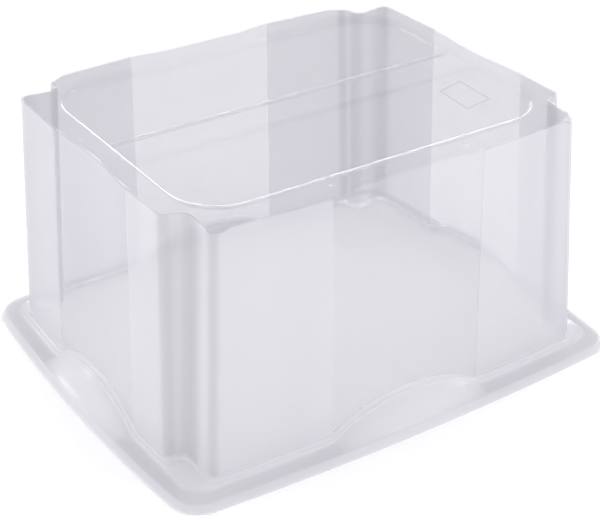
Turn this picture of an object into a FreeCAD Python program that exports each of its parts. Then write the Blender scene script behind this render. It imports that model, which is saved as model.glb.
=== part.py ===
"""Stacking storage box of clear polypropylene, standing on its rim with its base upwards.

Millimetres. The origin is the middle of the rim's footprint on the floor, X runs along the long sides,
Y across them and Z up. Side names are as seen from -Y: front is -Y, back +Y, left -X and right +X.
The box is one moulding. Each region that a person would name is a body of its own, and neighbours
meet face to face, so every wall is a thin plate and the inside stays open.
"""
import FreeCAD, Part
import math
import os

import Sketcher

DIMENSIONS = {
    # rim
    "rim_half_length": 240,
    "rim_half_width": 200,
    "rim_long_radius": 2810,
    "rim_short_radius": 1810,
    "rim_corner_radius": 28,
    "lip_height": 5,
    "lip_thickness": 2.5,
    "flange_thickness": 2.5,
    # walls where they stand on the flange
    "wall_thickness": 2,
    "foot_half_length": 215.5,
    "foot_half_width": 174.7,
    "foot_long_radius": 4200,
    "foot_short_radius": 3000,
    "ledge_width": 4,
    "ledge_rise": 2.5,
    # walls under the base
    "height": 242,
    "head_half_length": 204.5,
    "head_half_width": 170.8,
    "head_long_radius": 2150,
    "head_short_radius": 3460,
    "long_window_dish": 4.7,
    "short_window_dish": 3.7,
    # windows: half widths at foot and head, and the rise of the grips below them
    "long_window_foot": 78,
    "long_window_head": 76,
    "short_window_foot": 72,
    "short_window_head": 65,
    "grip_rise": 22,
    # corner notches: their inner corner, how far along the short side they open, and the roundings there
    "front_notch_x_foot": 196,
    "front_notch_x_head": 182.5,
    "front_notch_y_foot": 128,
    "front_notch_y_head": 125,
    "front_mouth_y_foot": 124,
    "front_mouth_y_head": 118.5,
    "back_notch_x_foot": 174,
    "back_notch_x_head": 164,
    "back_notch_y_foot": 149,
    "back_notch_y_head": 138.5,
    "back_mouth_y_foot": 155,
    "back_mouth_y_head": 144.5,
    "long_post_radius": 10,
    "short_post_radius": 8,
    "seat_radius": 22,
    # base: recessed panel with a raised band along it
    "ring_half_length": 178,
    "ring_half_width": 136,
    "ring_radius": 45,
    "recess_depth": 5,
    "band_front": 27,
    "band_back": 14,
    "band_rise": 2.5,
}


class Size:
    """A length together with the spreadsheet expression that gives it."""

    def __init__(self, value, text):
        self.value = float(value)
        self.text = text

    def __add__(self, other):
        other = as_size(other)
        return Size(self.value + other.value, f"({self.text} + {other.text})")

    def __sub__(self, other):
        other = as_size(other)
        return Size(self.value - other.value, f"({self.text} - {other.text})")

    def __mul__(self, other):
        other = as_size(other)
        return Size(self.value * other.value, f"({self.text} * {other.text})")

    def __truediv__(self, other):
        other = as_size(other)
        return Size(self.value / other.value, f"({self.text} / {other.text})")

    def __neg__(self):
        return Size(-self.value, f"(-1 * {self.text})")


def as_size(number):
    return number if isinstance(number, Size) else Size(number, repr(float(number)))


def root(size):
    return Size(math.sqrt(size.value), f"sqrt({size.text})")


def make_sheet(doc):
    """The spreadsheet of driving dimensions, and a Size for each of its cells."""
    sheet = doc.addObject("Spreadsheet::Sheet", "Sizes")
    sizes = {}
    for row, (alias, value) in enumerate(DIMENSIONS.items(), start=1):
        sheet.set(f"A{row}", alias)
        sheet.set(f"B{row}", str(value))
        sheet.setAlias(f"B{row}", alias)
        sizes[alias] = Size(value, f"Sizes.{alias}")
    doc.recompute()
    return sizes


DOC = FreeCAD.newDocument("StorageBox")
S = make_sheet(DOC)

WALL = S["wall_thickness"]
LIP_TOP = S["lip_height"]
FLANGE_TOP = LIP_TOP + S["flange_thickness"]
HEAD = S["height"] - WALL
PANEL_TOP = S["height"] - S["recess_depth"]
PANEL_UNDER = PANEL_TOP - WALL
LEDGE = S["ledge_width"]
LONG_POST = S["long_post_radius"]
SHORT_POST = S["short_post_radius"]


# ---------------------------------------------------------------------------------------------- sketches

def origin_plane(body, role):
    return next(f for f in body.Origin.OriginFeatures if f.Role == role)


def new_body(name):
    body = DOC.addObject("PartDesign::Body", name)
    body.Label = name
    return body


def arc_geometry(start, end, radius, turn):
    """An arc from start to end, anticlockwise if turn is 1 and clockwise if it is -1.

    A sketch keeps its arcs anticlockwise, so the second value says which of the arc's ends,
    1 for its start or 2 for its end, lies at the given start.
    """
    first, last = (start, end) if turn > 0 else (end, start)
    chord = last - first
    rise = math.sqrt(max(radius ** 2 - (chord.Length / 2) ** 2, 0))
    left = FreeCAD.Vector(-chord.y, chord.x, 0).normalize()
    centre = (first + last) * 0.5 + left * rise
    angles = [math.atan2(point.y - centre.y, point.x - centre.x) for point in (first, last)]
    if angles[1] < angles[0]:
        angles[1] += 2 * math.pi
    circle = Part.Circle(centre, FreeCAD.Vector(0, 0, 1), radius)
    return Part.ArcOfCircle(circle, *angles), 1 if turn > 0 else 2


def add_outline(sketch, points, bends):
    """Add a closed outline whose corners, and the radii of its bent edges, follow the spreadsheet.

    points are (x, y) pairs of Size. bends maps the index of an edge to its (radius, turn); every other
    edge is straight.
    """
    places = [FreeCAD.Vector(x.value, y.value, 0) for x, y in points]
    base = sketch.GeometryCount
    count = len(points)
    starts = []
    for i, place in enumerate(places):
        after = places[(i + 1) % count]
        if i in bends:
            radius, turn = bends[i]
            geometry, at_start = arc_geometry(place, after, radius.value, turn)
        else:
            geometry, at_start = Part.LineSegment(place, after), 1
        sketch.addGeometry(geometry, False)
        starts.append(at_start)
    for i in range(count):
        after = (i + 1) % count
        sketch.addConstraint(Sketcher.Constraint(
            "Coincident", base + i, 3 - starts[i], base + after, starts[after]))
    for i, (x, y) in enumerate(points):
        for kind, size in (("DistanceX", x), ("DistanceY", y)):
            index = sketch.addConstraint(Sketcher.Constraint(
                kind, -1, 1, base + i, starts[i], size.value))
            sketch.setExpression(f"Constraints[{index}]", size.text)
    for i, (radius, _turn) in bends.items():
        index = sketch.addConstraint(Sketcher.Constraint("Radius", base + i, radius.value))
        sketch.setExpression(f"Constraints[{index}]", radius.text)


def level_sketch(body, level, points, bends=None):
    """A horizontal outline at the height level."""
    sketch = body.newObject("Sketcher::SketchObject", f"{body.Name}_outline")
    sketch.AttachmentSupport = (origin_plane(body, "XY_Plane"), [""])
    sketch.MapMode = "FlatFace"
    sketch.setExpression("AttachmentOffset.Base.z", level.text)
    add_outline(sketch, points, bends or {})
    return sketch


def upright_sketch(body, side, out, points, bends=None):
    """An upright outline across a side, out from the middle. Its points are (along, up)."""
    sketch = body.newObject("Sketcher::SketchObject", f"{body.Name}_outline")
    sketch.AttachmentSupport = (origin_plane(body, side.plane), [""])
    sketch.MapMode = "FlatFace"
    sketch.setExpression("AttachmentOffset.Base.z", (out * side.normal).text)
    add_outline(sketch, points, bends or {})
    return sketch


def pad(body, level, thickness, points, bends=None):
    sketch = level_sketch(body, level, points, bends)
    feature = body.newObject("PartDesign::Pad", f"{body.Name}_pad")
    feature.Profile = sketch
    feature.setExpression("Length", thickness.text)
    return feature


def loft(body, sections):
    feature = body.newObject("PartDesign::AdditiveLoft", f"{body.Name}_loft")
    feature.Profile = sections[0]
    feature.Sections = sections[1:]
    feature.Ruled = True
    return feature


# ------------------------------------------------------------------------------------- sides and corners

class Side:
    """One side of the box. Its own coordinates are u, along it towards +X or +Y, and v, outwards."""

    def __init__(self, name, along_x, sign):
        self.name = name
        self.along_x = along_x
        self.sign = sign
        kind = "long" if along_x else "short"
        across = "width" if along_x else "length"
        self.rim_middle = S[f"rim_half_{across}"]
        self.rim_radius = S[f"rim_{kind}_radius"]
        self.bow_middle = {level: S[f"{level}_half_{across}"] for level in ("foot", "head")}
        self.bow_radius = {level: S[f"{level}_{kind}_radius"] for level in ("foot", "head")}
        self.window = {level: S[f"{kind}_window_{level}"] for level in ("foot", "head")}
        self.dish = S[f"{kind}_window_dish"]
        self.plane = "XZ_Plane" if along_x else "YZ_Plane"
        self.normal = -sign if along_x else sign
        self.ends = (("left", -1), ("right", 1)) if along_x else (("front", -1), ("back", 1))
        # seen from above, u then v turns anticlockwise on the back and left sides only
        self.hand = sign if along_x else -sign

    def rim_out(self, u):
        """How far out the bowed rim is at u."""
        return self.rim_middle - u * u / (self.rim_radius * 2)

    def wall_out(self, u, level):
        """How far out the bowed wall's outer face is at u, at its foot or its head."""
        return self.bow_middle[level] - u * u / (self.bow_radius[level] * 2)

    def dish_radius(self):
        reach = self.window["head"]
        return (reach * reach + self.dish * self.dish) / (self.dish * 2)

    def grip_radius(self):
        """The radius of the arch over the grip."""
        reach, rise = self.window["foot"], S["grip_rise"]
        return (reach * reach + rise * rise) / (rise * 2)

    def at(self, u, v):
        v = v * self.sign
        return (u, v) if self.along_x else (v, u)

    def place(self, pairs):
        return [self.at(u, v) for u, v in pairs]


class Corner:
    """One corner of the box, drawn in the quarter where x and y are positive and then mirrored."""

    def __init__(self, end_y, end_x):
        self.name = f"{end_y}_{end_x}"
        self.sign_x = 1 if end_x == "right" else -1
        self.sign_y = 1 if end_y == "back" else -1
        self.long_side = SIDES[end_y]
        self.short_side = SIDES[end_x]
        self.notch_x = {level: S[f"{end_y}_notch_x_{level}"] for level in ("foot", "head")}
        self.notch_y = {level: S[f"{end_y}_notch_y_{level}"] for level in ("foot", "head")}
        self.mouth_y = {level: S[f"{end_y}_mouth_y_{level}"] for level in ("foot", "head")}
        self.hand = self.sign_x * self.sign_y

    def long_end(self, level):
        """Where the long side's wall ends and its rounding starts, along X."""
        return self.notch_x[level] - LONG_POST

    def short_end(self, level):
        """Where the short side's wall ends and its rounding starts, along Y."""
        return self.mouth_y[level] - SHORT_POST

    def long_out(self, level):
        return self.long_side.wall_out(self.long_end(level), level)

    def short_out(self, level):
        return self.short_side.wall_out(self.short_end(level), level)

    def place(self, pairs):
        return [(x * self.sign_x, y * self.sign_y) for x, y in pairs]

    def bends(self, bends):
        return {edge: (radius, turn * self.hand) for edge, (radius, turn) in bends.items()}


SIDES = {
    "front": Side("front", True, -1),
    "back": Side("back", True, 1),
    "left": Side("left", False, -1),
    "right": Side("right", False, 1),
}
CORNERS = [Corner(end_y, end_x) for end_y in ("front", "back") for end_x in ("left", "right")]


def corner_at(side, end):
    """The corner at the named end of a side."""
    name = f"{side.name}_{end}" if side.along_x else f"{end}_{side.name}"
    return next(corner for corner in CORNERS if corner.name == name)


def wall_end(side, end, sign, level):
    """The end of a side's wall at the foot or the head, as a signed distance along the side."""
    corner = corner_at(side, end)
    reach = corner.long_end(level) if side.along_x else corner.short_end(level)
    return reach * sign


RIM_CORNER_X = SIDES["left"].rim_out(S["rim_half_width"] - 35) - S["rim_corner_radius"]
RIM_CORNER_Y = SIDES["front"].rim_out(S["rim_half_length"] - 35) - S["rim_corner_radius"]


# ------------------------------------------------------------------------------------------ rim and walls

def strip(side, start, end, out, thickness, radius):
    """A bowed strip of a side between u = start and u = end, as points and bends.

    out gives its outer edge at u. Its edges run out along the start, along the outside, in, and back.
    """
    points = side.place([
        (start, out(start) - thickness), (start, out(start)), (end, out(end)), (end, out(end) - thickness)])
    turn = -side.hand if end.value > start.value else side.hand
    return points, {1: (radius, turn), 3: (radius, -turn)}


def make_lip(side):
    body = new_body(f"rim_lip_{side.name}")
    reach = RIM_CORNER_X if side.along_x else RIM_CORNER_Y
    pad(body, as_size(0), LIP_TOP,
        *strip(side, -reach, reach, side.rim_out, S["lip_thickness"], side.rim_radius))


def make_flange(side, end, sign):
    """The rim's flat flange under a frosted panel, with the low ledge along the panel's foot."""
    body = new_body(f"flange_{side.name}_{end}")
    start, stop = wall_end(side, end, sign, "foot"), side.window["foot"] * sign
    points = side.place([
        (start, side.wall_out(start, "foot") - WALL), (start, side.rim_out(start)),
        (stop, side.rim_out(stop)), (stop, side.wall_out(stop, "foot") - WALL)])
    turn = side.hand * sign
    bow = side.bow_radius["foot"]
    pad(body, LIP_TOP, S["flange_thickness"], points, {1: (side.rim_radius, turn), 3: (bow, -turn)})
    points, bends = strip(
        side, start, stop, lambda u: side.wall_out(u, "foot") + LEDGE, LEDGE, bow)
    pad(body, FLANGE_TOP, S["ledge_rise"], points, bends)


def make_grip(side):
    """The part of the rim under a window, which rises from the lip to an arch in the wall."""
    body = new_body(f"grip_{side.name}")
    reach = side.window["foot"]
    rim = side.rim_out(reach)
    wall = side.wall_out(reach, "foot")
    flat = [(-reach, LIP_TOP), (reach, LIP_TOP), (reach, FLANGE_TOP), (-reach, FLANGE_TOP)]
    arched = {0: (side.grip_radius(), -1), 2: (side.grip_radius(), 1)}
    sections = [upright_sketch(body, side, out, flat) for out in (rim, rim - S["lip_thickness"])]
    sections += [upright_sketch(body, side, out, flat, arched) for out in (wall, wall - WALL)]
    loft(body, sections)


def make_wall(side, end, sign):
    """A frosted panel, between a window and the corner."""
    body = new_body(f"wall_{side.name}_{end}")
    sections = []
    for level, height in (("foot", FLANGE_TOP), ("head", HEAD)):
        ends = wall_end(side, end, sign, level), side.window[level] * sign
        points, bends = strip(
            side, *ends, lambda u, level=level: side.wall_out(u, level), WALL, side.bow_radius[level])
        sections.append(level_sketch(body, height, points, bends))
    loft(body, sections)


def make_window(side):
    """A window: dished under the base, bowed out at its foot and cut away over the grip's arch."""
    body = new_body(f"window_{side.name}")
    sections = []
    for level, height in (("foot", FLANGE_TOP), ("head", HEAD)):
        reach = side.window[level]
        out = side.wall_out(reach, level)
        points = side.place([(-reach, out - WALL), (-reach, out), (reach, out), (reach, out - WALL)])
        radius, turn = (side.bow_radius[level], -side.hand)
        if level == "head":
            radius, turn = (side.dish_radius(), side.hand)
        sections.append(level_sketch(body, height, points, {1: (radius, turn), 3: (radius, -turn)}))
    loft(body, sections)
    reach = side.window["foot"]
    arch = upright_sketch(
        body, side, side.wall_out(reach, "foot") - WALL / 2,
        [(-reach, FLANGE_TOP), (reach, FLANGE_TOP)], {0: (side.grip_radius(), -1)})
    cut = body.newObject("PartDesign::Pocket", f"{body.Name}_arch")
    cut.Profile = arch
    cut.SideType = "Symmetric"
    cut.setExpression("Length", (WALL * 10).text)


# ----------------------------------------------------------------------------------------------- corners

def make_corner_lip(corner):
    body = new_body(f"rim_lip_corner_{corner.name}")
    outer = S["rim_corner_radius"]
    thickness = S["lip_thickness"]
    x, y = RIM_CORNER_X, RIM_CORNER_Y
    long_out = corner.long_side.rim_out(x)
    short_out = corner.short_side.rim_out(y)
    points = corner.place([
        (x, long_out - thickness), (short_out - thickness, y), (short_out, y), (x, long_out)])
    pad(body, as_size(0), LIP_TOP, points,
        corner.bends({0: (outer - thickness, -1), 2: (outer, 1)}))


def make_corner_seat(corner):
    """The flange round a corner, with the low floor of the notch raised on it."""
    body = new_body(f"corner_seat_{corner.name}")
    end_x, end_y = corner.long_end("foot"), corner.short_end("foot")
    out_x, out_y = corner.short_out("foot"), corner.long_out("foot")
    notch_x, notch_y, mouth_y = corner.notch_x["foot"], corner.notch_y["foot"], corner.mouth_y["foot"]
    short, long = corner.short_side, corner.long_side
    flange = corner.place([
        (end_x, long.rim_out(end_x)), (end_x, out_y - WALL), (notch_x - WALL, out_y - LONG_POST),
        (notch_x - WALL, notch_y - WALL), (out_x - SHORT_POST, mouth_y - WALL),
        (out_x - WALL, end_y), (short.rim_out(end_y), end_y),
        (short.rim_out(RIM_CORNER_Y), RIM_CORNER_Y), (RIM_CORNER_X, long.rim_out(RIM_CORNER_X))])
    pad(body, LIP_TOP, S["flange_thickness"], flange, corner.bends({
        1: (LONG_POST - WALL, -1), 4: (SHORT_POST - WALL, -1),
        6: (short.rim_radius, 1), 7: (S["rim_corner_radius"], 1), 8: (long.rim_radius, 1)}))
    seat = S["seat_radius"]
    edge_x, edge_y = out_x + LEDGE, out_y + LEDGE
    floor = corner.place([
        (notch_x, notch_y), (out_x - SHORT_POST, mouth_y), (out_x, end_y), (edge_x, end_y),
        (edge_x, edge_y - seat), (edge_x - seat, edge_y), (end_x, edge_y), (end_x, out_y),
        (notch_x, out_y - LONG_POST)])
    pad(body, FLANGE_TOP, S["ledge_rise"], floor, corner.bends({
        1: (SHORT_POST, -1), 4: (seat, 1), 7: (LONG_POST, -1)}))


def make_notch_faces(corner):
    """The two upright faces of a corner notch, each with the rounding that joins it to its wall."""
    side_body = new_body(f"notch_side_{corner.name}")
    end_body = new_body(f"notch_end_{corner.name}")
    side_sections, end_sections = [], []
    for level, height in (("foot", FLANGE_TOP), ("head", HEAD)):
        notch_x, notch_y, mouth_y = corner.notch_x[level], corner.notch_y[level], corner.mouth_y[level]
        out_x, out_y = corner.short_out(level), corner.long_out(level)
        points = corner.place([
            (out_x, mouth_y - SHORT_POST), (out_x - SHORT_POST, mouth_y), (notch_x, notch_y),
            (notch_x - WALL, notch_y), (notch_x - WALL, notch_y - WALL), (out_x - SHORT_POST, mouth_y - WALL),
            (out_x - WALL, mouth_y - SHORT_POST)])
        side_sections.append(level_sketch(side_body, height, points, corner.bends({
            0: (SHORT_POST, 1), 5: (SHORT_POST - WALL, -1)})))
        points = corner.place([
            (notch_x, notch_y), (notch_x, out_y - LONG_POST), (notch_x - LONG_POST, out_y),
            (notch_x - LONG_POST, out_y - WALL), (notch_x - WALL, out_y - LONG_POST),
            (notch_x - WALL, notch_y)])
        end_sections.append(level_sketch(end_body, height, points, corner.bends({
            1: (LONG_POST, 1), 3: (LONG_POST - WALL, -1)})))
    loft(side_body, side_sections)
    loft(end_body, end_sections)


# -------------------------------------------------------------------------------------------------- base

RING_X, RING_Y = S["ring_half_length"], S["ring_half_width"]
RING_RADIUS = S["ring_radius"]
RING_STRAIGHT_X, RING_STRAIGHT_Y = RING_X - RING_RADIUS, RING_Y - RING_RADIUS


# how far from the middle the long borders meet the short ones
BORDER_SEAM = {"front": S["front_notch_y_head"], "back": RING_Y}


def ring_x_at(y):
    """Where the rounded corner of the recess crosses the line at y."""
    up = y - RING_STRAIGHT_Y
    return RING_STRAIGHT_X + root(RING_RADIUS * RING_RADIUS - up * up)


def make_border_long(corner):
    """The base's border along the long side of a corner, from that corner's notch to the next."""
    side = corner.long_side
    body = new_body(f"base_border_{side.name}")
    notch_x, out = corner.notch_x["head"], corner.long_out("head")
    window = side.window["head"]
    seam = BORDER_SEAM[side.name]
    half = [(notch_x, seam), (notch_x, out - LONG_POST), (notch_x - LONG_POST, out),
            (window, side.wall_out(window, "head"))]
    inner = [(RING_STRAIGHT_X, RING_Y), (ring_x_at(seam), seam)] if seam.value < RING_Y.value else []
    right = inner + half
    points = right + [(-x, y) for x, y in reversed(right)]
    bow = side.bow_radius["head"]
    first = len(inner)
    bends = {first + 1: (LONG_POST, 1), first + 2: (bow, 1), first + 3: (side.dish_radius(), -1),
             first + 4: (bow, 1), first + 5: (LONG_POST, 1)}
    if inner:
        bends.update({0: (RING_RADIUS, -1), first + 8: (RING_RADIUS, -1)})
    pad(body, HEAD, WALL, [(x, y * side.sign) for x, y in points],
        {edge: (radius, turn * side.sign) for edge, (radius, turn) in bends.items()})


def make_border_short(side):
    """The base's border along a short side, between its two notches."""
    body = new_body(f"base_border_{side.name}")
    front, back = corner_at(side, "front"), corner_at(side, "back")
    window = side.window["head"]
    edge = side.wall_out(window, "head")
    outer = [
        (front.notch_x["head"], -front.notch_y["head"]),
        (front.short_out("head") - SHORT_POST, -front.mouth_y["head"]),
        (front.short_out("head"), -front.short_end("head")), (edge, -window), (edge, window),
        (back.short_out("head"), back.short_end("head")),
        (back.short_out("head") - SHORT_POST, back.mouth_y["head"]),
        (back.notch_x["head"], back.notch_y["head"]), (back.notch_x["head"], RING_Y)]
    seam = BORDER_SEAM["front"]
    inner = [
        (RING_STRAIGHT_X, RING_Y), (RING_X, RING_STRAIGHT_Y), (RING_X, -RING_STRAIGHT_Y),
        (ring_x_at(seam), -seam)]
    bow = side.bow_radius["head"]
    bends = {1: (SHORT_POST, 1), 2: (bow, 1), 3: (side.dish_radius(), -1), 4: (bow, 1), 5: (SHORT_POST, 1),
             9: (RING_RADIUS, -1), 11: (RING_RADIUS, -1)}
    pad(body, HEAD, WALL, [(x * side.sign, y) for x, y in outer + inner],
        {index: (radius, turn * side.sign) for index, (radius, turn) in bends.items()})


def rounded_rectangle(half_x, half_y, radius):
    inset_x, inset_y = half_x - radius, half_y - radius
    points = [
        (half_x, -inset_y), (half_x, inset_y), (inset_x, half_y), (-inset_x, half_y),
        (-half_x, inset_y), (-half_x, -inset_y), (-inset_x, -half_y), (inset_x, -half_y)]
    return points, {edge: (radius, 1) for edge in (1, 3, 5, 7)}


def make_step():
    """The low upright step round the recess, between the border and the panel."""
    body = new_body("base_step")
    sketch = level_sketch(body, PANEL_TOP, *rounded_rectangle(RING_X + WALL, RING_Y + WALL, RING_RADIUS + WALL))
    add_outline(sketch, *rounded_rectangle(RING_X, RING_Y, RING_RADIUS))
    feature = body.newObject("PartDesign::Pad", "base_step_pad")
    feature.Profile = sketch
    feature.setExpression("Length", (HEAD - PANEL_TOP).text)


def make_panel(name, sign, band_edge):
    """A part of the recessed panel, from the band to the recess's edge. It laps under the band."""
    body = new_body(name)
    half_x, half_y = RING_X + WALL, RING_Y + WALL
    radius = RING_RADIUS + WALL
    near = band_edge - WALL
    points = [
        (half_x, near), (half_x, half_y - radius), (half_x - radius, half_y),
        (radius - half_x, half_y), (-half_x, half_y - radius), (-half_x, near)]
    pad(body, PANEL_UNDER, WALL, [(x, y * sign) for x, y in points],
        {1: (radius, sign), 3: (radius, sign)})


def make_band():
    """The raised band along the middle of the recess."""
    body = new_body("base_band")
    front, back = -S["band_front"], S["band_back"]
    points = [(-RING_X, front), (RING_X, front), (RING_X, back), (-RING_X, back)]
    pad(body, PANEL_TOP, S["band_rise"], points)


# ----------------------------------------------------------------------------------------- build and write

def build():
    for side in SIDES.values():
        make_lip(side)
        make_grip(side)
        make_window(side)
        for end, sign in side.ends:
            make_flange(side, end, sign)
            make_wall(side, end, sign)
    for corner in CORNERS:
        make_corner_lip(corner)
        make_corner_seat(corner)
        make_notch_faces(corner)
    make_border_long(corner_at(SIDES["front"], "right"))
    make_border_long(corner_at(SIDES["back"], "right"))
    make_border_short(SIDES["left"])
    make_border_short(SIDES["right"])
    make_step()
    make_panel("base_panel_front", -1, S["band_front"])
    make_panel("base_panel_back", 1, S["band_back"])
    make_band()
    DOC.recompute()


def check():
    """Stop if any object of the document failed, or any body is not one valid solid."""
    for thing in DOC.Objects:
        if "Invalid" in thing.State or "Error" in thing.State:
            raise RuntimeError(f"{thing.Name} failed: {thing.State}")
    bodies = [thing for thing in DOC.Objects if thing.TypeId == "PartDesign::Body"]
    for body in bodies:
        shape = body.Shape
        if shape.isNull() or not shape.isValid() or len(shape.Solids) != 1:
            raise RuntimeError(f"{body.Name} is not one valid solid")
    return bodies


def write(bodies):
    os.makedirs("parts", exist_ok=True)
    for body in bodies:
        body.Shape.exportStep(f"parts/{body.Label}.step")
    volume = sum(body.Shape.Volume for body in bodies)
    print(f"{len(bodies)} sub-parts, {volume / 1000:.0f} cubic centimetres")


build()
write(check())
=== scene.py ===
"""Looks of a clear polypropylene storage box that stands on its rim with its base upwards.

The box is one moulding: windows, frosted corners, grips, rim and base are closed thin shells that meet
edge to edge. Shapes are worked out in millimetres in the frame of the CAD model and made in metres.
"""
import math

import bmesh
import bpy
from mathutils import Matrix, Quaternion, Vector


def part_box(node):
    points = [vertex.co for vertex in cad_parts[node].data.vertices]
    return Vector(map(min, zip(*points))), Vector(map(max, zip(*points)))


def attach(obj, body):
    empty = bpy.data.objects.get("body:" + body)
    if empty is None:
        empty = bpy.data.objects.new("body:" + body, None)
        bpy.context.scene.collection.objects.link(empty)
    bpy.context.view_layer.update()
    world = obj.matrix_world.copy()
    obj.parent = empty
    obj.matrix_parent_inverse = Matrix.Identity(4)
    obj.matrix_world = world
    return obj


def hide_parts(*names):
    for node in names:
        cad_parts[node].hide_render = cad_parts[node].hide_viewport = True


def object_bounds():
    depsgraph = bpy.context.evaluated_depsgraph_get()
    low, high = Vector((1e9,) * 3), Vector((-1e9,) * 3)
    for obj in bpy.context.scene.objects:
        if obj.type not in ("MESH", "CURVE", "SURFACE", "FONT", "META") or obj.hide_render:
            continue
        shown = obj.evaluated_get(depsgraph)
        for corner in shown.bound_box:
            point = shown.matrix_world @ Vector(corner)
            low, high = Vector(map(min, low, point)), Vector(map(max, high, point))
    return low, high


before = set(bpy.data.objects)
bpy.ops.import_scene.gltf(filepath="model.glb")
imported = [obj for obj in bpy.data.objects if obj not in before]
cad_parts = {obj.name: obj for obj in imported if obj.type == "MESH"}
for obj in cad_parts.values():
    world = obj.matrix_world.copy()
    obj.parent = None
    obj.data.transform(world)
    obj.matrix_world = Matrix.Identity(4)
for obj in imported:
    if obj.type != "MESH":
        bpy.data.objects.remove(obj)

MM = 0.001
CAD_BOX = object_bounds()


def reach_of(node, axis, high=True):
    """How far a CAD node reaches along an axis, in millimetres."""
    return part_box(node)[1 if high else 0][axis] / MM


# ------------------------------------------------------------------------------------------- main sizes

TOP = reach_of("base_border_front", 2)
RIM_HALF = {"long": CAD_BOX[1][1] / MM, "short": CAD_BOX[1][0] / MM}
RIM_RADIUS = {"long": 2810, "short": 1810}
RIM_CORNER = 28
RIM_CORNER_X, RIM_CORNER_Y = reach_of("rim_lip_front", 0), reach_of("rim_lip_right", 1)

# the walls' outlines at their foot, level 0, and at their head, level 1: half widths, radii of the bow, and
# the windows' half widths with how far a head is dished there and how far it stays flat
WALL = 2.0
FLANGE_TOP = 7.5
HEAD = TOP - WALL
FOOT_HALF = {"long": 174.7, "short": 215.5}
HEAD_HALF = {"long": 170.8, "short": 204.5}
BOW = {("long", 0): 4200, ("short", 0): 3000, ("long", 1): 2150, ("short", 1): 3460}
WINDOW = {("long", 0): 78, ("long", 1): 76, ("short", 0): 72, ("short", 1): 65}
DISH = {"long": 4.7, "short": 3.7}
DISH_FLAT = {"long": 34, "short": 6}
# the arch over a grip: its height, how softly it runs out, and where it is over, in half window widths
ARCH_RISE = 22
ARCH_SOFT = 4.0
ARCH_END = 1.5

# each notch's inner corner, where it opens in the short wall, and the roundings of its three edges
NOTCH_X = {("front", 0): 196, ("front", 1): 182.5, ("back", 0): 174, ("back", 1): 164}
NOTCH_Y = {("front", 0): 128, ("front", 1): 125, ("back", 0): 149, ("back", 1): 138.5}
MOUTH_Y = {("front", 0): 124, ("front", 1): 118.5, ("back", 0): 155, ("back", 1): 144.5}
LONG_POST, SHORT_POST, NOTCH_BEND = 10.0, 8.0, 8.0
# the long wall's columns stand closer together towards the notch, by this power
CROWDING = 1.7

LEDGE = 4.0
LEDGE_TOP = FLANGE_TOP + 2.5
LEDGE_CORNER = 22
# over a grip the ledge gets slimmer, by up to this much once the arch is this high
LEDGE_SLIM, SLIM_RISE = 1.6, 8
# the fillet from a wall to the ledge: its share of the ledge's width, and its height outside and inside
LEDGE_BEND, LEDGE_STEP, LEDGE_DROP = 0.4, 2, 4.3
SHEET = 2.5
# the ledge's edge, top face then the face below it: how far in from the edge and how far down
LEDGE_EDGE = ((1.0, 0.0, 1.5, 2.4), (0.35, 0.3, 1.2, 3.0), (0.0, 1.0, 0.8, 3.8),
              (-0.3, 1.9, 0.2, 4.6), (-1.0, 2.5, -0.7, 5.0))
# the rim's outer edge: how far in and how high its face runs, then the same for the face behind it
RIM_EDGE = ((5.4, 7.5, 5.4, 5.0), (4.7, 7.42, 5.1, 4.97), (4.1, 7.1, 4.8, 4.8), (3.7, 6.6, 4.6, 4.5),
            (2.8, 5.1, 4.2, 3.7), (1.6, 3.1, 3.5, 2.5), (0.7, 1.6, 2.9, 1.4), (0.2, 0.7, 2.6, 0.7),
            (0.0, 0.35, 2.5, 0.35), (0.25, 0.0, 2.3, 0.0))

# painted shade, darker and more opaque, along the roundings and faces of a notch, from the long wall to the
# short one
PAINTED_CORNER_SHADE = {
    "long_post": (0.0, 0.2, 0.8, 1.0, 1.0, 1.0, 0.8, 0.3, 0.0),
    "notch": (0.0, 0.0, 0.8, 1.0, 1.0, 1.0, 1.0, 1.0, 0.9, 0.5, 0.3, 0.3, 0.3, 0.3, 0.6, 0.9, 1.0),
    "short_post": (1.0, 1.0, 1.0, 1.0, 1.0, 0.8, 0.4),
}
# and the painted shade on the rim, darker and more opaque where the flange lies flat than where it climbs
# over a grip
PAINTED_LEDGE_SHADE, PAINTED_FLAT_SHADE, PAINTED_CLIMB_SHADE, PAINTED_RIM_SHADE = 0.5, 0.6, 0.1, 0.3

# the rounding between a wall and the base, and the first strip of the flat border beside it
EDGE_ROUND = 3.0
FLAT_ROW = 1.5
# the straight edge that cuts off a long wall's rounded end: how far before the rounding it starts, how far
# in it stops, how far below the rounded edge it begins, and the depth of cut at which it is flat
BEVEL_ALONG, BEVEL_DOWN, BEVEL_DROP, BEVEL_FULL = 7.5, 2.0, 2.5, 3.5
# how many columns it reaches past the rounding, and a bound on how far it spreads on a face that turns away
BEVEL_PAST, LEAST_SLANT = 2, 0.5
WALL_TOP = TOP - EDGE_ROUND
WALL_FOOT = LEDGE_TOP + 4

# the step round the recess: its half sizes and corner radius, the height and width of the rounding above
# it, and the fillet at its foot
RING_X, RING_Y, RING_RADIUS = 178.0, 136.0, 45.0
RING_ROUND, RING_OUT, RING_FILLET = 3.2, 8.0, 3.0
PANEL_TOP = TOP - 5
BAND_FRONT, BAND_BACK = reach_of("base_band", 1, False), reach_of("base_band", 1)
BAND_RISE = reach_of("base_band", 2) - PANEL_TOP
BAND_EDGE = 1.3
# where the panel has a row of points besides those at the band's edges
PANEL_LEVELS = (-70, -50, -35, -15, -5, 5, 25, 40, 60, 75)

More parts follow.
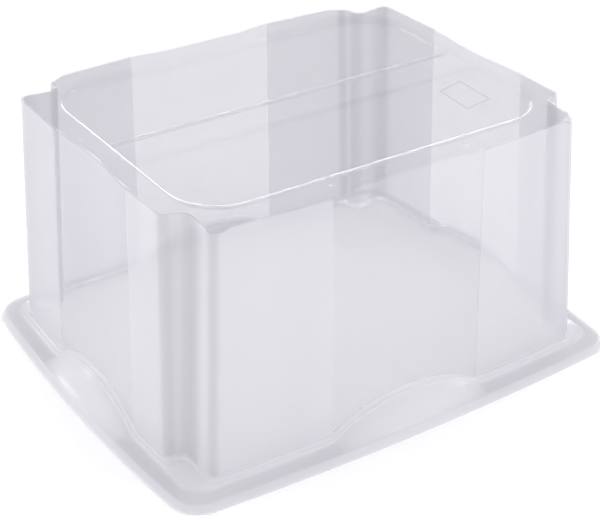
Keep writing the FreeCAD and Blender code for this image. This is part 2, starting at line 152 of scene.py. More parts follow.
# shallow round dimples left by the mould's pins in the border, with their section as shares of the radius
# and the depth, and the frame for a label on the panel
PIN_MARKS = ((-65.6, -152.0), (67.0, -155.0), (-193.0, 32.5))
PIN_RADIUS, PIN_DEPTH = 3.6, 0.5
PIN_SECTION = ((1.0, 0.0), (0.86, 0.0), (0.74, 0.7), (0.6, 1.0), (0.3, 1.0))
LABEL_FRAME = ((118.0, -94.0), (148.0, -88.0), (150.0, -42.5), (121.0, -50.0))
LABEL_LINE, LABEL_MITRE, LABEL_RISE = 1.2, 1.4, 0.15

# how many steps each stretch is cut into: the outline from the middle of a long side to the middle of a
# short one, the ledge and the rim round a corner, the recess, and the sections of walls, rim and dimples
COUNTS = {"window": 16, "long": 16, "long_post": 8, "end": 5, "bend": 6, "side": 6, "short_post": 7,
          "short": 9, "ledge_bend": 14, "rim_start": 6, "rim_bend": 18, "rim_end": 8,
          "ring_bend": 12, "across": 24, "band_edge": 6, "ring_fillet": 5, "ring_round": 8,
          "wall_rise": 15, "edge_round": 5, "ledge_foot": 3, "flange": 4, "pin": 20}


# ------------------------------------------------------------------------------------------ small helpers

def smooth(t):
    """A step from 0 to 1 that starts and ends gently."""
    t = min(max(t, 0.0), 1.0)
    return t * t * (3 - 2 * t)


def spread(start, end, count):
    """count points after start, the last of them at end."""
    return [start.lerp(end, k / count) for k in range(1, count + 1)]


def fillet(before, corner, after, radius, count):
    """count + 1 points of the arc that rounds a corner."""
    a, b = (before - corner).normalized(), (after - corner).normalized()
    half = a.angle(b) / 2
    centre = corner + (a + b).normalized() * (radius / math.sin(half))
    start = corner + a * (radius / math.tan(half)) - centre
    end = corner + b * (radius / math.tan(half)) - centre
    angle = start.angle(end)
    return [centre + (start * math.sin((1 - k / count) * angle) + end * math.sin(k / count * angle))
            / math.sin(angle) for k in range(count + 1)]


def outward(points):
    """Unit normals of a closed anticlockwise outline."""
    count = len(points)
    normals = []
    for i in range(count):
        along = points[(i + 1) % count] - points[i - 1]
        normals.append(Vector((along.y, -along.x)).normalized())
    return normals


def at_share(path, share):
    """The point a share of the way along a path."""
    lengths = [(b - a).length for a, b in zip(path, path[1:])]
    left = share * sum(lengths)
    for (a, b), length in zip(zip(path, path[1:]), lengths):
        if left <= length + 1e-9:
            return a.lerp(b, min(left / length, 1.0))
        left -= length
    return path[-1]


def shares(path):
    """How far along a path each of its points lies, from 0 to 1."""
    lengths = [0.0]
    for a, b in zip(path, path[1:]):
        lengths.append(lengths[-1] + (b - a).length)
    return [length / lengths[-1] for length in lengths]


# -------------------------------------------------------------------------------------- outlines in plan

def wall_out(kind, level, u):
    """How far out the outer face of a wall is at u along its side."""
    half = (HEAD_HALF if level else FOOT_HALF)[kind]
    reach = WINDOW[kind, level]
    out = half - u * u / (2 * BOW[kind, level])
    if level and abs(u) < reach:
        edge = half - reach * reach / (2 * BOW[kind, level])
        flat = DISH_FLAT[kind]
        out = edge - DISH[kind] * (1 - smooth((abs(u) - flat) / (reach - flat)))
    return out


def rim_out(kind, u):
    """How far out the rim's edge is at u along its side."""
    return RIM_HALF[kind] - u * u / (2 * RIM_RADIUS[kind])


def arch(kind, u):
    """How high the foot of the wall is lifted over a grip at u."""
    reach = WINDOW[kind, 0]
    radius = (reach * reach + ARCH_RISE * ARCH_RISE) / (2 * ARCH_RISE)
    if abs(u) > ARCH_END * reach:
        return 0.0
    lift = math.sqrt(max(radius * radius - u * u, 0)) - (radius - ARCH_RISE)
    if abs(lift) < ARCH_SOFT:
        return (lift + ARCH_SOFT) ** 2 / (4 * ARCH_SOFT)
    return max(lift, 0.0)


def quarter(end, level):
    """The wall's outline in the quarter where x and y are positive, from the middle of the long side to
    the middle of the short side, as (point, region, distance along the side)."""
    notch = Vector((NOTCH_X[end, level], NOTCH_Y[end, level]))
    mouth = MOUTH_Y[end, level]
    u = notch.x - LONG_POST
    long_end = Vector((u, wall_out("long", level, u)))
    slope = -u / BOW["long", level]
    post = Vector((notch.x, long_end.y + slope * LONG_POST))
    v = mouth - SHORT_POST
    short_end = Vector((wall_out("short", level, v), v))
    slope = -v / BOW["short", level]
    lip = Vector((short_end.x + slope * SHORT_POST, mouth))
    first = fillet(long_end, post, notch, LONG_POST, COUNTS["long_post"])
    second = fillet(post, notch, lip, NOTCH_BEND, COUNTS["bend"])
    third = fillet(notch, lip, short_end, SHORT_POST, COUNTS["short_post"])
    columns = []
    reach, count = WINDOW["long", level], COUNTS["window"]
    for k in range(count + 1):
        u = reach * k / count
        columns.append((Vector((u, wall_out("long", level, u))), "window", u))
    count, start = COUNTS["long"], first[0].x
    for k in range(1, count):
        u = reach + (start - reach) * (1 - (1 - k / count) ** CROWDING)
        columns.append((Vector((u, wall_out("long", level, u))), "long", u))
    columns += [(point, "long_post", None) for point in first]
    columns += [(point, "notch", None) for point in spread(first[-1], second[0], COUNTS["end"])]
    columns += [(point, "notch", None) for point in second[1:]]
    columns += [(point, "notch", None) for point in spread(second[-1], third[0], COUNTS["side"])]
    columns += [(point, "short_post", None) for point in third[1:]]
    reach, count, start = WINDOW["short", level], COUNTS["short"], third[-1].y
    for k in range(1, count):
        v = start + (reach - start) * k / count
        columns.append((Vector((wall_out("short", level, v), v)), "short", v))
    count = COUNTS["window"]
    for k in range(count + 1):
        v = reach * (1 - k / count)
        columns.append((Vector((wall_out("short", level, v), v)), "window", v))
    return columns


def bevel_line(head):
    """Where the straight edge that cuts off a long wall's rounded end starts, and its outward direction."""
    post = [point for point, region, _u in head if region == "long_post"]
    start = Vector((post[0].x - BEVEL_ALONG, wall_out("long", 1, post[0].x - BEVEL_ALONG)))
    stop = post[-1] - Vector((0.0, BEVEL_DOWN))
    along = stop - start
    return start, Vector((-along.y, along.x)).normalized()


def corner_points(end):
    """The wall's foot round a corner, from the long wall's end to the short wall's."""
    return [point for point, region, _u in quarter(end, 0) if region in PAINTED_CORNER_SHADE]


def ledge_path(end):
    """The ledge's outline round a corner, between the ends of the two walls' feet."""
    corner = corner_points(end)
    edge_x, edge_y = corner[-1].x + LEDGE, corner[0].y + LEDGE
    bend = fillet(Vector((0, edge_y)), Vector((edge_x, edge_y)), Vector((edge_x, 0)), LEDGE_CORNER,
                  COUNTS["ledge_bend"])
    return [Vector((corner[0].x, edge_y)), *bend, Vector((edge_x, corner[-1].y))]


def rim_path(end):
    """The rim's outline round a corner, between the same ends."""
    corner = corner_points(end)
    start, stop = corner[0].x, corner[-1].y
    x, y = RIM_CORNER_X, RIM_CORNER_Y
    a, b = Vector((x, rim_out("long", x))), Vector((rim_out("short", y), y))
    tip = Vector((b.x - (y - a.y) * y / RIM_RADIUS["short"], a.y - (b.x - x) * x / RIM_RADIUS["long"]))
    count = COUNTS["rim_start"]
    steps = [start + (x - start) * k / count for k in range(count)]
    path = [Vector((u, rim_out("long", u))) for u in steps]
    path += fillet(a, tip, b, RIM_CORNER, COUNTS["rim_bend"])
    count = COUNTS["rim_end"]
    steps = [y + (stop - y) * k / count for k in range(1, count + 1)]
    path += [Vector((rim_out("short", v), v)) for v in steps]
    return path


def around():
    """All columns of the moulding, anticlockwise from the middle of the front. Each has its outer point at
    the wall's foot and head, at the ledge's edge and at the rim's edge, its region, side and arch."""
    loop = []
    for end, mirror_x, mirror_y, forward in (
            ("front", 1, -1, True), ("back", 1, 1, False), ("back", -1, 1, True), ("front", -1, -1, False)):
        foot, head = quarter(end, 0), quarter(end, 1)
        inside = [i for i, (_point, region, _u) in enumerate(foot) if region in PAINTED_CORNER_SHADE]
        along = dict(zip(inside, shares([foot[i][0] for i in inside])))
        ledge, rim = ledge_path(end), rim_path(end)
        columns = []
        first = inside[0]
        last_cut = inside[COUNTS["long_post"] + BEVEL_PAST]
        line, facing = bevel_line(head)
        for i, ((low, region, u), (high, _region, _u)) in enumerate(zip(foot, head)):
            kind = "long" if i < first else "short"
            if i in along:
                edge, far, lift = at_share(ledge, along[i]), at_share(rim, along[i]), 0.0
                seen = [j for j in inside if foot[j][1] == region]
                # painted shade: how much this column of a corner is darkened, from the corner's table
                steps = PAINTED_CORNER_SHADE[region]
                painted_dark = steps[round((i - seen[0]) / (len(seen) - 1) * (len(steps) - 1))]
            else:
                lift, painted_dark = arch(kind, u), 0.0
                slim = LEDGE - LEDGE_SLIM * smooth(lift / SLIM_RISE)
                if kind == "long":
                    edge, far = Vector((low.x, low.y + slim)), Vector((low.x, rim_out(kind, low.x)))
                else:
                    edge, far = Vector((low.x + slim, low.y)), Vector((rim_out(kind, low.y), low.y))
            cut = max((high - line).dot(facing), 0.0) if i <= last_cut else 0.0
            columns.append({"foot": low, "head": high, "ledge": edge, "rim": far, "region": region,
                            "kind": kind, "lift": lift, "cut": cut,
                            "bevel": min(cut / BEVEL_FULL, 1.0), "facing": facing, "painted_dark": painted_dark})
        for column in columns:
            for key in ("foot", "head", "ledge", "rim", "facing"):
                column[key] = Vector((column[key].x * mirror_x, column[key].y * mirror_y))
            column["side"] = end if column["kind"] == "long" else "right" if mirror_x > 0 else "left"
        if not forward:
            columns.reverse()
        loop += columns if not loop else columns[1:]
    return loop[:-1]


COLUMNS = around()
for key in ("foot", "head", "rim"):
    for column, normal in zip(COLUMNS, outward([column[key] for column in COLUMNS])):
        column[key + "_normal"] = normal


# ----------------------------------------------------------------------------------- sections of the skin

def point(plan, z):
    """A plan point at a height."""
    return Vector((plan.x, plan.y, z))


def wall_point(column, z, depth=0.0):
    """A point of the wall at a height, and a depth behind its outer face."""
    share = (z - FLANGE_TOP) / (HEAD - FLANGE_TOP)
    plan = column["foot"].lerp(column["head"], share)
    normal = column["foot_normal"].lerp(column["head_normal"], share).normalized()
    return point(plan - normal * depth, z)


def painted_rim_shade_rows(column):
    """How much painted shade each row of a rim section gets, darker colour and more opacity: none on the
    wall's foot and the ledge, most from the ledge's lower edge across the flange, and a little where the rim
    starts to turn down."""
    flange = PAINTED_CLIMB_SHADE if column["lift"] > 1 else PAINTED_FLAT_SHADE
    return [0.0] * 8 + [PAINTED_LEDGE_SHADE] * 2 + [flange] * 3 + [PAINTED_RIM_SHADE] * 2 + [0.0] * 8


def wall_section(column):
    """The wall from above the ledge to where it starts to round over."""
    low, high = WALL_FOOT + column["lift"], WALL_TOP - BEVEL_DROP * column["bevel"]
    count = COUNTS["wall_rise"]
    levels = [low + (high - low) * k / count for k in range(count + 1)]
    return [wall_point(column, z) for z in levels], [wall_point(column, z, WALL) for z in levels]


def top_section(column):
    """The rounding between a wall and the base, or the slant where the wall's end is cut off."""
    slant = column["bevel"]
    low = WALL_TOP - BEVEL_DROP * slant
    normal = column["head_normal"]
    inset = max(EDGE_ROUND, column["cut"] / max(normal.dot(column["facing"]), LEAST_SLANT))
    plan, normal = wall_point(column, low), normal.to_3d()
    outer, inner = [], []
    count = COUNTS["edge_round"]
    for k in range(count + 1):
        turn = math.pi / 2 * k / count
        out = (1 - math.cos(turn)) * (1 - slant) + k / count * slant
        up = math.sin(turn) * (1 - slant) + k / count * slant
        outer.append(plan - normal * inset * out + Vector((0, 0, (TOP - low) * up)))
        inner.append(plan - normal * (WALL + (inset - WALL) * out) + Vector((0, 0, (TOP - WALL - low) * up)))
    outer.append(outer[-1] - normal * FLAT_ROW)
    inner.append(inner[-1] - normal * FLAT_ROW)
    return outer, inner


def rim_section(column):
    """The rim from the wall's foot over the ledge and the flange and down the lip, or over a grip."""
    top = LEDGE_TOP + column["lift"]
    ledge, rim, normal = column["ledge"], column["rim"], column["rim_normal"]
    foot, inside = wall_point(column, top), wall_point(column, top, WALL)
    way = ledge - foot.xy
    bend = LEDGE_BEND * min(LEDGE, way.length)
    way.normalize()
    outer = [wall_point(column, WALL_FOOT + column["lift"]), wall_point(column, top + LEDGE_STEP)]
    inner = [wall_point(column, WALL_FOOT + column["lift"], WALL), wall_point(column, top + LEDGE_STEP, WALL)]
    count = COUNTS["ledge_foot"]
    for k in range(1, count + 1):
        turn = math.pi / 2 * k / count
        out, down = 1 - math.cos(turn), math.sin(turn)
        outer.append(point(foot.xy + way * bend * out, top + LEDGE_STEP * (1 - down)))
        inner.append(point(inside.xy + way * (WALL + bend) * out, top + LEDGE_STEP - LEDGE_DROP * down))
    for back, drop, under_back, under_drop in LEDGE_EDGE:
        outer.append(point(ledge - way * back, top - drop))
        inner.append(point(ledge - way * under_back, top - under_drop))
    back, level = RIM_EDGE[0][:2]
    above, below = outer[-1], inner[-1]
    count = COUNTS["flange"]
    for k in range(1, count):
        outer.append(above.lerp(point(rim - normal * back, level), k / count))
        inner.append(below.lerp(point(rim - normal * back, level - SHEET), k / count))
    for back, z, under_back, under_z in RIM_EDGE:
        outer.append(point(rim - normal * back, z))
        inner.append(point(rim - normal * under_back, under_z))
    return outer, inner


# ------------------------------------------------------------------------------------------- mesh making

def add_faces(bm, grid, closed, material=0, keep_smooth=True):
    """Quads between neighbouring rows of a grid of vertices."""
    for row, after in zip(grid, grid[1:]):
        pairs = list(zip(row, row[1:])) + ([(row[-1], row[0])] if closed else [])
        above = list(zip(after, after[1:])) + ([(after[-1], after[0])] if closed else [])
        for (a, b), (d, c) in zip(pairs, above):
            face = bm.faces.new((a, b, c, d))
            face.material_index = material
            face.smooth = keep_smooth
            if not keep_smooth:
                for edge in face.edges:
                    edge.smooth = False


def face_grids(bm, sections):
    """The vertices of the outer and the inner face of a shell, a row for each section."""
    return [[[bm.verts.new(p * MM) for p in section[face]] for section in sections] for face in (0, 1)]


def make_shell(bm, sections, top_joined=True, painted_amount=None):
    """A thin shell from sections, each a list of outer and a list of inner points. Its ends are closed with
    join faces, or with a plain one at the top where that is a real edge. The last argument, a row of numbers
    for each section, is painted shade: how much darker and more opaque the plastic is made there."""
    layer = bm.verts.layers.float.new("painted_shade_and_bulk")
    outer, inner = face_grids(bm, sections)
    if painted_amount:
        for grid in (outer, inner):
            for row, values in zip(grid, painted_amount):
                for vert, value in zip(row, values):
                    vert[layer] = value
    add_faces(bm, outer, False)
    add_faces(bm, inner, False)
    for index, joined in ((0, True), (-1, top_joined)):
        strip = [[section[index] for section in grid] for grid in (outer, inner)]
        add_faces(bm, strip, False, 1 if joined else 0, not joined)
    for index in (0, -1):
        add_faces(bm, [outer[index], inner[index]], False, 1, False)


def make_ring(bm, sections):
    """The outer and inner faces of a closed ring of sections, joined at their first points. Gives the
    loops of their last points, which are left open."""
    outer, inner = face_grids(bm, sections)
    for grid in (outer, inner):
        add_faces(bm, grid + [grid[0]], False)
    rims = [[section[0] for section in grid + [grid[0]]] for grid in (outer, inner)]
    add_faces(bm, rims, False, 1, False)
    return [section[-1] for section in outer], [section[-1] for section in inner]


def make_piece(name, bm, finish, nodes):
    bmesh.ops.recalc_face_normals(bm, faces=bm.faces)
    mesh = bpy.data.meshes.new(name)
    bm.to_mesh(mesh)
    bm.free()
    mesh.materials.append(finish)
    mesh.materials.append(JOIN)
    piece = bpy.data.objects.new(name, mesh)
    bpy.context.scene.collection.objects.link(piece)
    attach(piece, "root")
    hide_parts(*nodes)


# ---------------------------------------------------------------------------------------------- materials

class Nodes:
    """Short calls for building a material's nodes."""

    def __init__(self, name):
        self.material = bpy.data.materials.new(name)
        self.material.use_nodes = True
        self.tree = self.material.node_tree
        self.shader = self.tree.nodes["Principled BSDF"]
        self.place = self.add("ShaderNodeTexCoord").outputs["Object"]

    def add(self, kind, **settings):
        node = self.tree.nodes.new(kind)
        for key, value in settings.items():
            setattr(node, key, value)
        return node

    def link(self, source, target):
        self.tree.links.new(source, target)

    def noise(self, scale, detail=3.0, rough=0.5, stretch=(1, 1, 1)):
        mapping = self.add("ShaderNodeMapping")
        mapping.inputs["Scale"].default_value = stretch
        self.link(self.place, mapping.inputs["Vector"])
        node = self.add("ShaderNodeTexNoise")
        node.inputs["Scale"].default_value = scale
        node.inputs["Detail"].default_value = detail
        node.inputs["Roughness"].default_value = rough
        self.link(mapping.outputs["Vector"], node.inputs["Vector"])
        return node.outputs["Fac"]

    def ranged(self, source, low, high, start=0.3, stop=0.7):
        node = self.add("ShaderNodeMapRange")
        node.inputs["From Min"].default_value = start
        node.inputs["From Max"].default_value = stop
        node.inputs["To Min"].default_value = low
        node.inputs["To Max"].default_value = high
        self.link(source, node.inputs["Value"])
        return node.outputs["Result"]

    def add_up(self, first, second):
        node = self.add("ShaderNodeMath", operation="ADD")
        self.link(first, node.inputs[0])
        self.link(second, node.inputs[1])
        return node.outputs["Value"]

    def blend(self, factor, low, high):
        node = self.add("ShaderNodeMix", data_type="RGBA")
        self.link(factor, node.inputs["Factor"])
        node.inputs["A"].default_value = (*low, 1)
        node.inputs["B"].default_value = (*high, 1)
        return node.outputs["Result"]

    def bump(self, height, strength, distance):
        node = self.add("ShaderNodeBump")
        node.inputs["Strength"].default_value = strength
        node.inputs["Distance"].default_value = distance
        self.link(height, node.inputs["Height"])
        self.link(node.outputs["Normal"], self.shader.inputs["Normal"])


# how late a face turns solid towards a glance, and the painted shade: how dark it makes the colour and the
# opacity it adds
GLANCE_POWER = 5.5
PAINTED_SHADE_LEVEL = 0.84
PAINTED_SHADE_ALPHA = 0.10
PLASTIC_IOR = 1.49
# how many times per metre the plastic's cloudiness, flow streaks and slow waves repeat
CLOUDS, STREAKS, WAVES = 7.0, 26.0, 18.0


def plastic(name, shade, tint_spread, alpha, roughness, grain, flow):
    """Moulded polypropylene. shade is its colour, alpha how solid one face of it looks from straight ahead
    and at a glance, grain the size, strength and depth of its surface texture, and flow the stretch of the
    streaks left by moulding."""
    nodes = Nodes(name)
    cloud = nodes.noise(CLOUDS, 2.0)
    streak = nodes.noise(STREAKS, 3.0, 0.55, flow)
    mixed = nodes.add_up(nodes.ranged(cloud, 0.0, 0.5), nodes.ranged(streak, 0.0, 0.5))
    dark = tuple(c * (1 - tint_spread) for c in shade)
    light = tuple(min(c * (1 + tint_spread), 1.0) for c in shade)
    # painted shade: as the per-vertex attribute says, the colour is darkened and the face made more opaque
    painted_shade_mix = nodes.add("ShaderNodeMix", data_type="RGBA")
    painted_amount = nodes.add("ShaderNodeAttribute", attribute_name="painted_shade_and_bulk").outputs["Fac"]
    nodes.link(painted_amount, painted_shade_mix.inputs["Factor"])
    nodes.link(nodes.blend(mixed, dark, light), painted_shade_mix.inputs["A"])
    painted_shade_mix.inputs["B"].default_value = (*(c * PAINTED_SHADE_LEVEL for c in shade), 1)
    nodes.link(painted_shade_mix.outputs["Result"], nodes.shader.inputs["Base Color"])
    nodes.link(nodes.ranged(streak, *roughness), nodes.shader.inputs["Roughness"])
    scale, strength, depth = grain
    fine = nodes.noise(scale, 2.0, 0.6)
    wave = nodes.ranged(nodes.noise(WAVES, 1.0), 0.0, 2.0, 0.0, 1.0)
    nodes.bump(nodes.add_up(fine, wave), strength, depth)
    glance = nodes.add("ShaderNodeMath", operation="POWER")
    nodes.link(nodes.add("ShaderNodeLayerWeight").outputs["Facing"], glance.inputs[0])
    glance.inputs[1].default_value = GLANCE_POWER
    solid = nodes.add("ShaderNodeMath", operation="MULTIPLY_ADD", use_clamp=True)
    nodes.link(painted_amount, solid.inputs[0])
    solid.inputs[1].default_value = PAINTED_SHADE_ALPHA
    nodes.link(nodes.ranged(glance.outputs["Value"], *alpha, 0.0, 1.0), solid.inputs[2])
    nodes.link(solid.outputs["Value"], nodes.shader.inputs["Alpha"])
    nodes.shader.inputs["IOR"].default_value = PLASTIC_IOR
    return nodes.material


def join_material():
    """The faces where two parts of the moulding meet lie inside it and don't show."""
    material = bpy.data.materials.new("join_inside_moulding")
    material.use_nodes = True
    shader = material.node_tree.nodes["Principled BSDF"]
    shader.inputs["Alpha"].default_value = 0.0
    return material


JOIN = join_material()
CLEAR = plastic("clear_polypropylene", (0.58, 0.574, 0.63), 0.03, (0.245, 0.95), (0.16, 0.26),
                (120, 0.03, 0.0004), (1, 1, 0.25))
FROSTED = plastic("frosted_polypropylene", (0.665, 0.659, 0.705), 0.02, (0.46, 0.92), (0.42, 0.56),
                  (2600, 0.10, 0.0002), (1, 1, 0.2))
RIM_FINISH = plastic("rim_polypropylene", (0.69, 0.684, 0.73), 0.03, (0.40, 0.95), (0.14, 0.22),
                     (60, 0.02, 0.0003), (0.4, 0.4, 1))
# painted shade: the base is the same clear plastic as the windows but has a darker shade, which paints its
# upward faces darker
BASE_FINISH_AND_SHADE = plastic("base_polypropylene_painted_shade", (0.435, 0.429, 0.48), 0.03, (0.215, 0.95), (0.08, 0.12),
                      (60, 0.02, 0.0002), (0.35, 1, 1))


# ------------------------------------------------------------------------------------- walls and the rim

def runs():
    """The columns of each side's window and of each corner, as lists that share their end columns."""
    count = len(COLUMNS)
    reach = COUNTS["window"]
    middles = {}
    for i, column in enumerate(COLUMNS):
        along = column["foot"].x if column["kind"] == "long" else column["foot"].y
        if column["region"] == "window" and abs(along) < 1e-6:
            middles[column["side"]] = i
    windows = {side: [COLUMNS[(i + k) % count] for k in range(-reach, reach + 1)]
               for side, i in middles.items()}
    corners = {}
    order = ["front", "right", "back", "left"]
    for side, following in zip(order, order[1:] + order[:1]):
        start, stop = middles[side] + reach, middles[following] - reach
        if stop < start:
            stop += count
        ends = (side, following) if side in ("front", "back") else (following, side)
        corners["_".join(ends)] = [COLUMNS[k % count] for k in range(start, stop + 1)]
    return windows, corners


def make_window(side, columns):
    bm = bmesh.new()
    make_shell(bm, [wall_section(column) for column in columns])
    make_piece(f"clear_window_{side}", bm, CLEAR, [f"window_{side}"])


def make_grip(side, columns):
    bm = bmesh.new()
    make_shell(bm, [rim_section(column) for column in columns], top_joined=False,
               painted_amount=[painted_rim_shade_rows(column) for column in columns])
    make_piece(f"finger_grip_{side}", bm, RIM_FINISH, [f"grip_{side}", f"rim_lip_{side}"])


def make_frosted_corner(corner, end, side, columns):
    bm = bmesh.new()
    # painted shade on the notch's roundings and faces, the same all the way up the wall
    make_shell(bm, [wall_section(column) for column in columns],
               painted_amount=[[column["painted_dark"]] * (COUNTS["wall_rise"] + 1) for column in columns])
    make_piece(f"frosted_corner_{corner}", bm, FROSTED, [
        f"wall_{end}_{side}", f"wall_{side}_{end}", f"notch_side_{corner}", f"notch_end_{corner}"])


def make_rim_corner(corner, end, side, columns):
    bm = bmesh.new()
    make_shell(bm, [rim_section(column) for column in columns], top_joined=False,
               painted_amount=[painted_rim_shade_rows(column) for column in columns])
    make_piece(f"rim_corner_{corner}", bm, RIM_FINISH, [
        f"flange_{end}_{side}", f"flange_{side}_{end}", f"corner_seat_{corner}", f"rim_lip_corner_{corner}"])


def make_walls_and_rim():
    windows, corners = runs()
    for side, columns in windows.items():
        make_window(side, columns)
        make_grip(side, columns)
    for corner, columns in corners.items():
        end, side = corner.split("_")
        make_frosted_corner(corner, end, side, columns)
        make_rim_corner(corner, end, side, columns)


make_walls_and_rim()


# --------------------------------------------------------------------------------------------------- base

# shares of half the panel's width, from its left end to its right
ACROSS = [-1 + 2 * k / COUNTS["across"] for k in range(COUNTS["across"] + 1)]


def band_height(y):
    """How far the panel stands above its lowest level at y."""
    near = smooth((y - BAND_FRONT + BAND_EDGE / 2) / BAND_EDGE)
    far = smooth((BAND_BACK + BAND_EDGE / 2 - y) / BAND_EDGE)
    return BAND_RISE * min(near, far)


def panel_rows():
    """The panel as rows from front to back: where each row ends on the right, and the outward direction
    there."""
    inner = RING_RADIUS - RING_FILLET
    half_x, half_y = RING_X - RING_RADIUS, RING_Y - RING_RADIUS
    ends = []
    bend = COUNTS["ring_bend"]
    for k in range(bend, -1, -1):
        turn = math.pi / 2 * k / bend
        out, along = math.cos(turn), math.sin(turn)
        ends.append((half_x + inner * out, -half_y - inner * along, out, -along))
    levels = list(PANEL_LEVELS)
    count = COUNTS["band_edge"]
    for edge in (BAND_FRONT, BAND_BACK):
        levels += [edge + BAND_EDGE * (k / count - 0.5) for k in range(count + 1)]
        levels += [edge - BAND_EDGE, edge + BAND_EDGE]
    ends += [(half_x + inner, y, 1.0, 0.0) for y in sorted(levels)]
    ends += [(x, -y, nx, -ny) for x, y, nx, ny in reversed(ends[:bend + 1])]
    return ends


def panel_outline(rows):
    """The panel's outline, anticlockwise from its front left, as (plan point, outward direction)."""
    (front_x, front_y), (back_x, back_y) = rows[0][:2], rows[-1][:2]
    front = [(Vector((front_x * s, front_y)), Vector((0.0, -1.0))) for s in ACROSS]
    right = [(Vector((x, y)), Vector((nx, ny))) for x, y, nx, ny in rows[1:]]
    back = [(Vector((back_x * s, back_y)), Vector((0.0, 1.0))) for s in reversed(ACROSS[:-1])]
    left = [(Vector((-x, y)), Vector((-nx, ny))) for x, y, nx, ny in reversed(rows[1:-1])]
    return front + right + back + left


def step_rows(bm, first_row, ring, drop):
    """The rows of the step that rises from the panel's outline, on its upper face or drop below that."""
    rows = [first_row]
    middle = TOP - RING_ROUND
    count = COUNTS["ring_fillet"]
    for k in range(1, count + 1):
        turn = math.pi / 2 * k / count
        out, up = (RING_FILLET + drop) * math.sin(turn), 1 - math.cos(turn)
        row = []
        for plan, normal in ring:
            low = PANEL_TOP + band_height(plan.y) - drop
            row.append(bm.verts.new(point(plan + normal * out, low + (middle - low) * up) * MM))
        rows.append(row)
    return rows


def make_recess(panel, ring):
    """The sunken panel with its raised band and label frame, and the step round it."""
    bm = bmesh.new()
    tops = []
    for drop in (0.0, WALL):
        grid = [[bm.verts.new(Vector((x * s, y, PANEL_TOP + band_height(y) - drop)) * MM) for s in ACROSS]
                for x, y, _nx, _ny in panel]
        add_faces(bm, grid, False)
        right, left = [row[-1] for row in grid[1:]], [row[0] for row in reversed(grid[1:-1])]
        rows = step_rows(bm, [*grid[0], *right, *reversed(grid[-1][:-1]), *left], ring, drop)
        add_faces(bm, rows, True)
        tops.append(rows[-1])
    add_faces(bm, tops, True, 1, False)
    add_label_frame(bm)
    make_piece("base_recess", bm, BASE_FINISH_AND_SHADE, [
        "base_step", "base_panel_front", "base_panel_back", "base_band"])


def ring_section(plan, normal):
    """The rounding between the step and the border."""
    line = plan + normal * RING_FILLET
    outer, inner = [], []
    count = COUNTS["ring_round"]
    for k in range(count + 1):
        turn = math.pi / 2 * (1 - k / count)
        out, up = math.sin(turn), math.cos(turn)
        outer.append(point(line + normal * RING_OUT * (1 - out), TOP - RING_ROUND * (1 - up)))
        inner.append(point(line + normal * (RING_OUT - (RING_OUT - WALL) * out),
                           TOP - RING_ROUND + (RING_ROUND - WALL) * up))
    outer.append(point(line + normal * (RING_OUT + FLAT_ROW), TOP))
    inner.append(point(line + normal * (RING_OUT + FLAT_ROW), TOP - WALL))
    return outer, inner


def make_border(ring):
    """The border between the walls and the recess: its rounded edges and the flat faces between them."""
    bm = bmesh.new()
    wall_loops = make_ring(bm, [top_section(column) for column in COLUMNS])
    ring_loops = make_ring(bm, [ring_section(plan, normal) for plan, normal in ring])
    for wall_loop, ring_loop, pins in zip(wall_loops, ring_loops, (PIN_MARKS, ())):
        loops = [wall_loop, ring_loop, *(add_pin_mark(bm, place) for place in pins)]
        edges = [bm.edges.get(pair) for loop in loops for pair in zip(loop, loop[1:] + loop[:1])]
        made = bmesh.ops.triangle_fill(bm, edges=edges, use_beauty=True, normal=(0, 0, 1))
        for item in made["geom"]:
            if isinstance(item, bmesh.types.BMFace):
                item.smooth = False
    make_piece("base_border", bm, BASE_FINISH_AND_SHADE, [
        f"base_border_{side}" for side in ("front", "back", "left", "right")])


def add_pin_mark(bm, place):
    """A dimple in the border. Gives its upper loop."""
    count = COUNTS["pin"]
    loops = []
    for radius, depth in PIN_SECTION:
        loop = []
        for k in range(count):
            turn = math.tau * k / count
            x = place[0] + PIN_RADIUS * radius * math.cos(turn)
            y = place[1] + PIN_RADIUS * radius * math.sin(turn)
            loop.append(bm.verts.new(Vector((x, y, TOP - PIN_DEPTH * depth)) * MM))
        loops.append(loop)
    add_faces(bm, loops, True)
    middle = bm.verts.new(Vector((*place, TOP - PIN_DEPTH)) * MM)
    for a, b in zip(loops[-1], loops[-1][1:] + loops[-1][:1]):
        bm.faces.new((a, b, middle))
    return loops[0]


def add_label_frame(bm):
    """A low raised line round the place for a label."""
    corners = [Vector(corner) for corner in LABEL_FRAME]
    middle = sum(corners, Vector((0.0, 0.0))) / 4
    loops = []
    for inset, z in ((0.0, -LABEL_RISE), (0.0, LABEL_RISE), (LABEL_LINE, LABEL_RISE),
                     (LABEL_LINE, -LABEL_RISE)):
        loop = []
        for corner in corners:
            toward = (middle - corner).normalized()
            loop.append(bm.verts.new(point(corner + toward * inset * LABEL_MITRE, PANEL_TOP + z) * MM))
        loops.append(loop)
    add_faces(bm, [*loops, loops[0]], True, 0, False)


def make_base():
    panel = panel_rows()
    ring = panel_outline(panel)
    make_recess(panel, ring)
    make_border(ring)


make_base()


# -------------------------------------------------------------------------------- floor, lights and camera

FLOOR_SHADES = (0.88, 0.88, 0.88), (0.90, 0.90, 0.90)
FLOOR_GLOW = 0.04
HORIZON, ZENITH, SKY_STRENGTH = (1, 1, 1, 1), (0.72, 0.72, 0.73, 1), 1.37

# the camera's heading, how far it looks down and its roll, in degrees
HEADING, LOOK_DOWN, ROLL = -33.016, 30.441, -0.317
CAMERA_PLACE = (-0.6707, -1.0337, 0.8021)


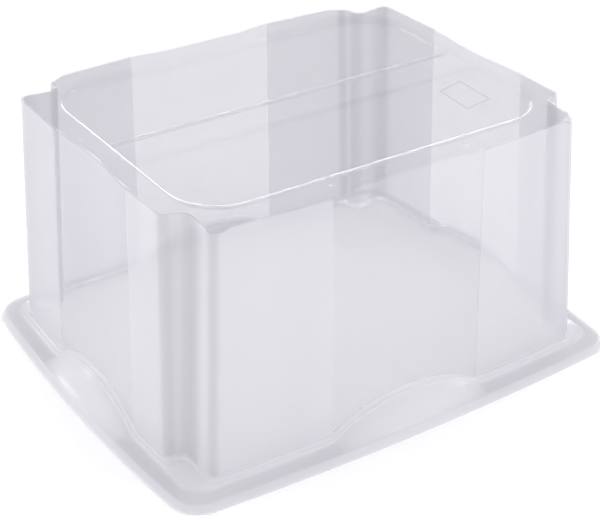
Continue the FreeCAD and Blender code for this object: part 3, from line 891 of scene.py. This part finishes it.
def make_floor():
    bm = bmesh.new()
    bmesh.ops.create_grid(bm, x_segments=8, y_segments=8, size=6.0)
    mesh = bpy.data.meshes.new("floor")
    bm.to_mesh(mesh)
    bm.free()
    floor = bpy.data.objects.new("floor", mesh)
    bpy.context.scene.collection.objects.link(floor)
    nodes = Nodes("pale_floor")
    nodes.link(nodes.blend(nodes.noise(3.0), *FLOOR_SHADES), nodes.shader.inputs["Base Color"])
    nodes.shader.inputs["Roughness"].default_value = 0.9
    nodes.shader.inputs["Specular IOR Level"].default_value = 0.1
    nodes.shader.inputs["Emission Color"].default_value = (1, 1, 1, 1)
    nodes.shader.inputs["Emission Strength"].default_value = FLOOR_GLOW
    mesh.materials.append(nodes.material)


def make_world():
    world = bpy.data.worlds.new("studio")
    bpy.context.scene.world = world
    world.use_nodes = True
    tree = world.node_tree
    background = tree.nodes["Background"]
    place = tree.nodes.new("ShaderNodeTexCoord")
    split = tree.nodes.new("ShaderNodeSeparateXYZ")
    ramp = tree.nodes.new("ShaderNodeValToRGB")
    tree.links.new(place.outputs["Generated"], split.inputs["Vector"])
    tree.links.new(split.outputs["Z"], ramp.inputs["Fac"])
    tree.links.new(ramp.outputs["Color"], background.inputs["Color"])
    ramp.color_ramp.elements[0].position = 0.0
    ramp.color_ramp.elements[0].color = HORIZON
    ramp.color_ramp.elements[1].position = 1.0
    ramp.color_ramp.elements[1].color = ZENITH
    background.inputs["Strength"].default_value = SKY_STRENGTH


def add_light(name, place, target, size, power, roll=0):
    """A rectangular lamp that faces target, turned by roll degrees about the line to it."""
    data = bpy.data.lights.new(name, "AREA")
    data.shape = "RECTANGLE"
    data.size, data.size_y = size
    data.energy = power
    light = bpy.data.objects.new(name, data)
    light.location = place
    aim = (Vector(target) - Vector(place)).to_track_quat("-Z", "Y")
    light.rotation_euler = (aim @ Quaternion((0, 0, 1), math.radians(roll))).to_euler()
    bpy.context.scene.collection.objects.link(light)


def make_camera():
    data = bpy.data.cameras.new("camera")
    data.sensor_width = 36
    data.lens = 91.49
    data.shift_x = 0.0034
    camera = bpy.data.objects.new("camera", data)
    turn = (Matrix.Rotation(math.radians(HEADING), 4, "Z")
            @ Matrix.Rotation(math.radians(90 - LOOK_DOWN), 4, "X")
            @ Matrix.Rotation(math.radians(ROLL), 4, "Z"))
    camera.matrix_world = Matrix.Translation(CAMERA_PLACE) @ turn
    bpy.context.scene.collection.objects.link(camera)
    bpy.context.scene.camera = camera


make_floor()
make_world()
add_light("back_strip", (1.7, 2.6, 0.45), (0, 0, 0.2), (2.8, 0.4), 33)
add_light("left_softbox", (-1.8, -1.4, 0.9), (0, 0, 0.12), (0.9, 1.2), 3)
add_light("right_softbox", (2.2, -0.5, 0.7), (0.2, 0, 0.1), (0.8, 0.8), 10)
add_light("front_edge_light", (1.0, -1.0, 1.6), (0, 0, 0.05), (0.3, 0.3), 2)
add_light("left_edge_light", (-1.15, 1.8, 1.0), (-0.2, 0, 0.24), (1.3, 0.2), 8.5, 123)
make_camera()
scene = bpy.context.scene
scene.view_settings.view_transform = "Standard"
scene.cycles.transparent_max_bounces = 40
